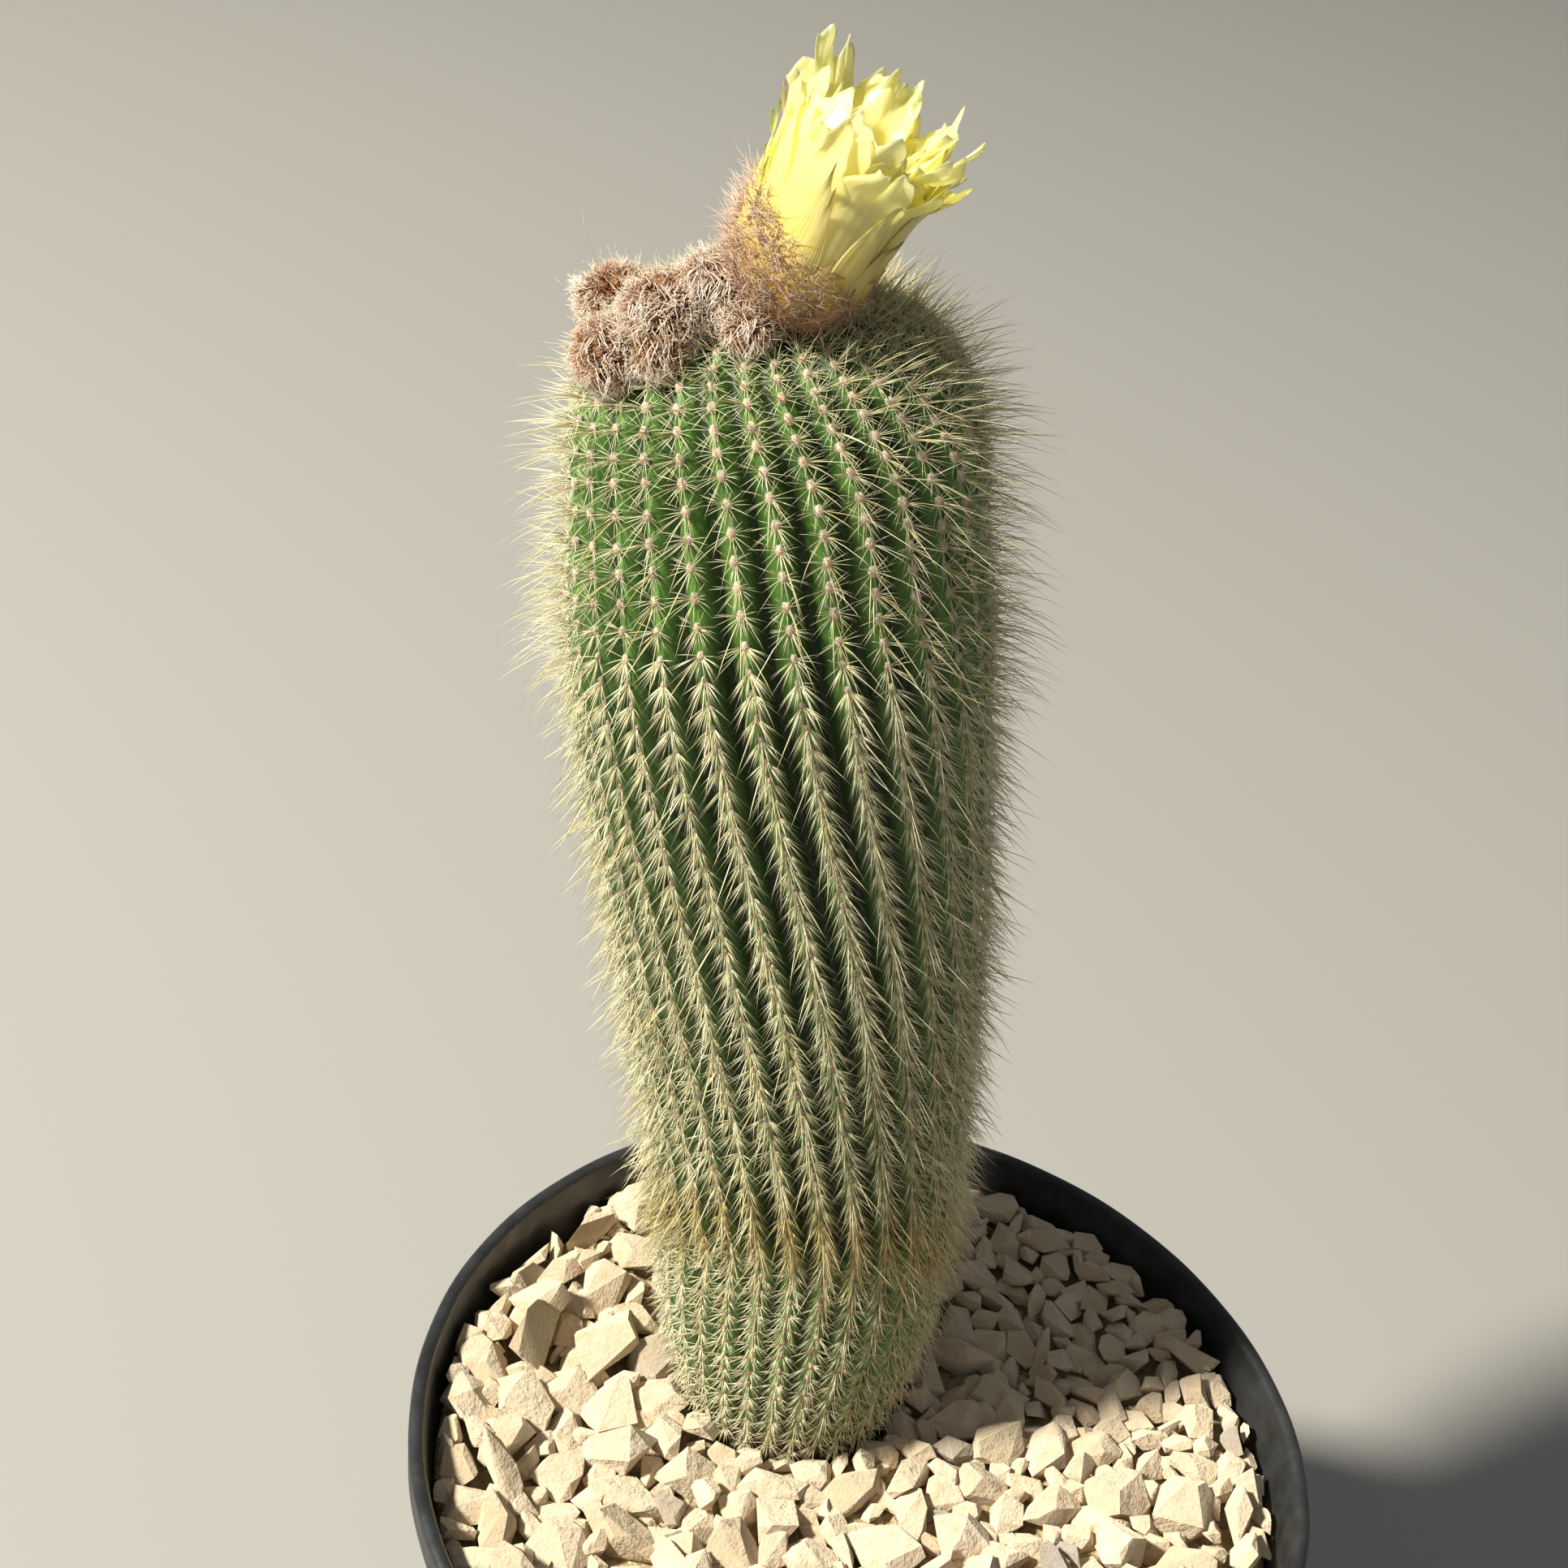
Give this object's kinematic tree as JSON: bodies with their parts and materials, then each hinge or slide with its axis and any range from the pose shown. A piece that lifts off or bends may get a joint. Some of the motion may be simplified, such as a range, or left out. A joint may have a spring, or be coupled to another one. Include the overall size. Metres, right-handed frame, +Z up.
{
  "type": "potted cactus",
  "caption": "Tall ribbed ball cactus with golden spines, woolly buds and a yellow flower on its crown, in a round pot topped with pale gravel.",
  "frame": {"origin": "centre of the pot's underside, on the surface that it stands on", "axes": "+Z up along the pot's axis, -Y towards the front, +X to the right of the front view; the stem leans towards -X"},
  "size_m": [0.2118, 0.21, 0.4962],
  "materials": {
    "pot": "thin black nursery plastic with a soft bluish sheen",
    "soil": "dark crumbly compost",
    "gravel": "dry cream limestone chips",
    "cactus_stem": "waxy green flesh, with pale golden spines in the finished look",
    "woolly_buds": "dense pinkish tan wool",
    "flower_tube": "golden skin under thin tan wool",
    "flower_tepals": "silky pale lemon petals"
  },
  "bodies": {
    "root": {"pot": "pot", "soil": "soil", "gravel": "gravel", "cactus_stem": "cactus_stem", "woolly_buds": "woolly_buds", "flower_tube": "flower_tube", "flower_tepals": "flower_tepals"}
  },
  "joints": []
}
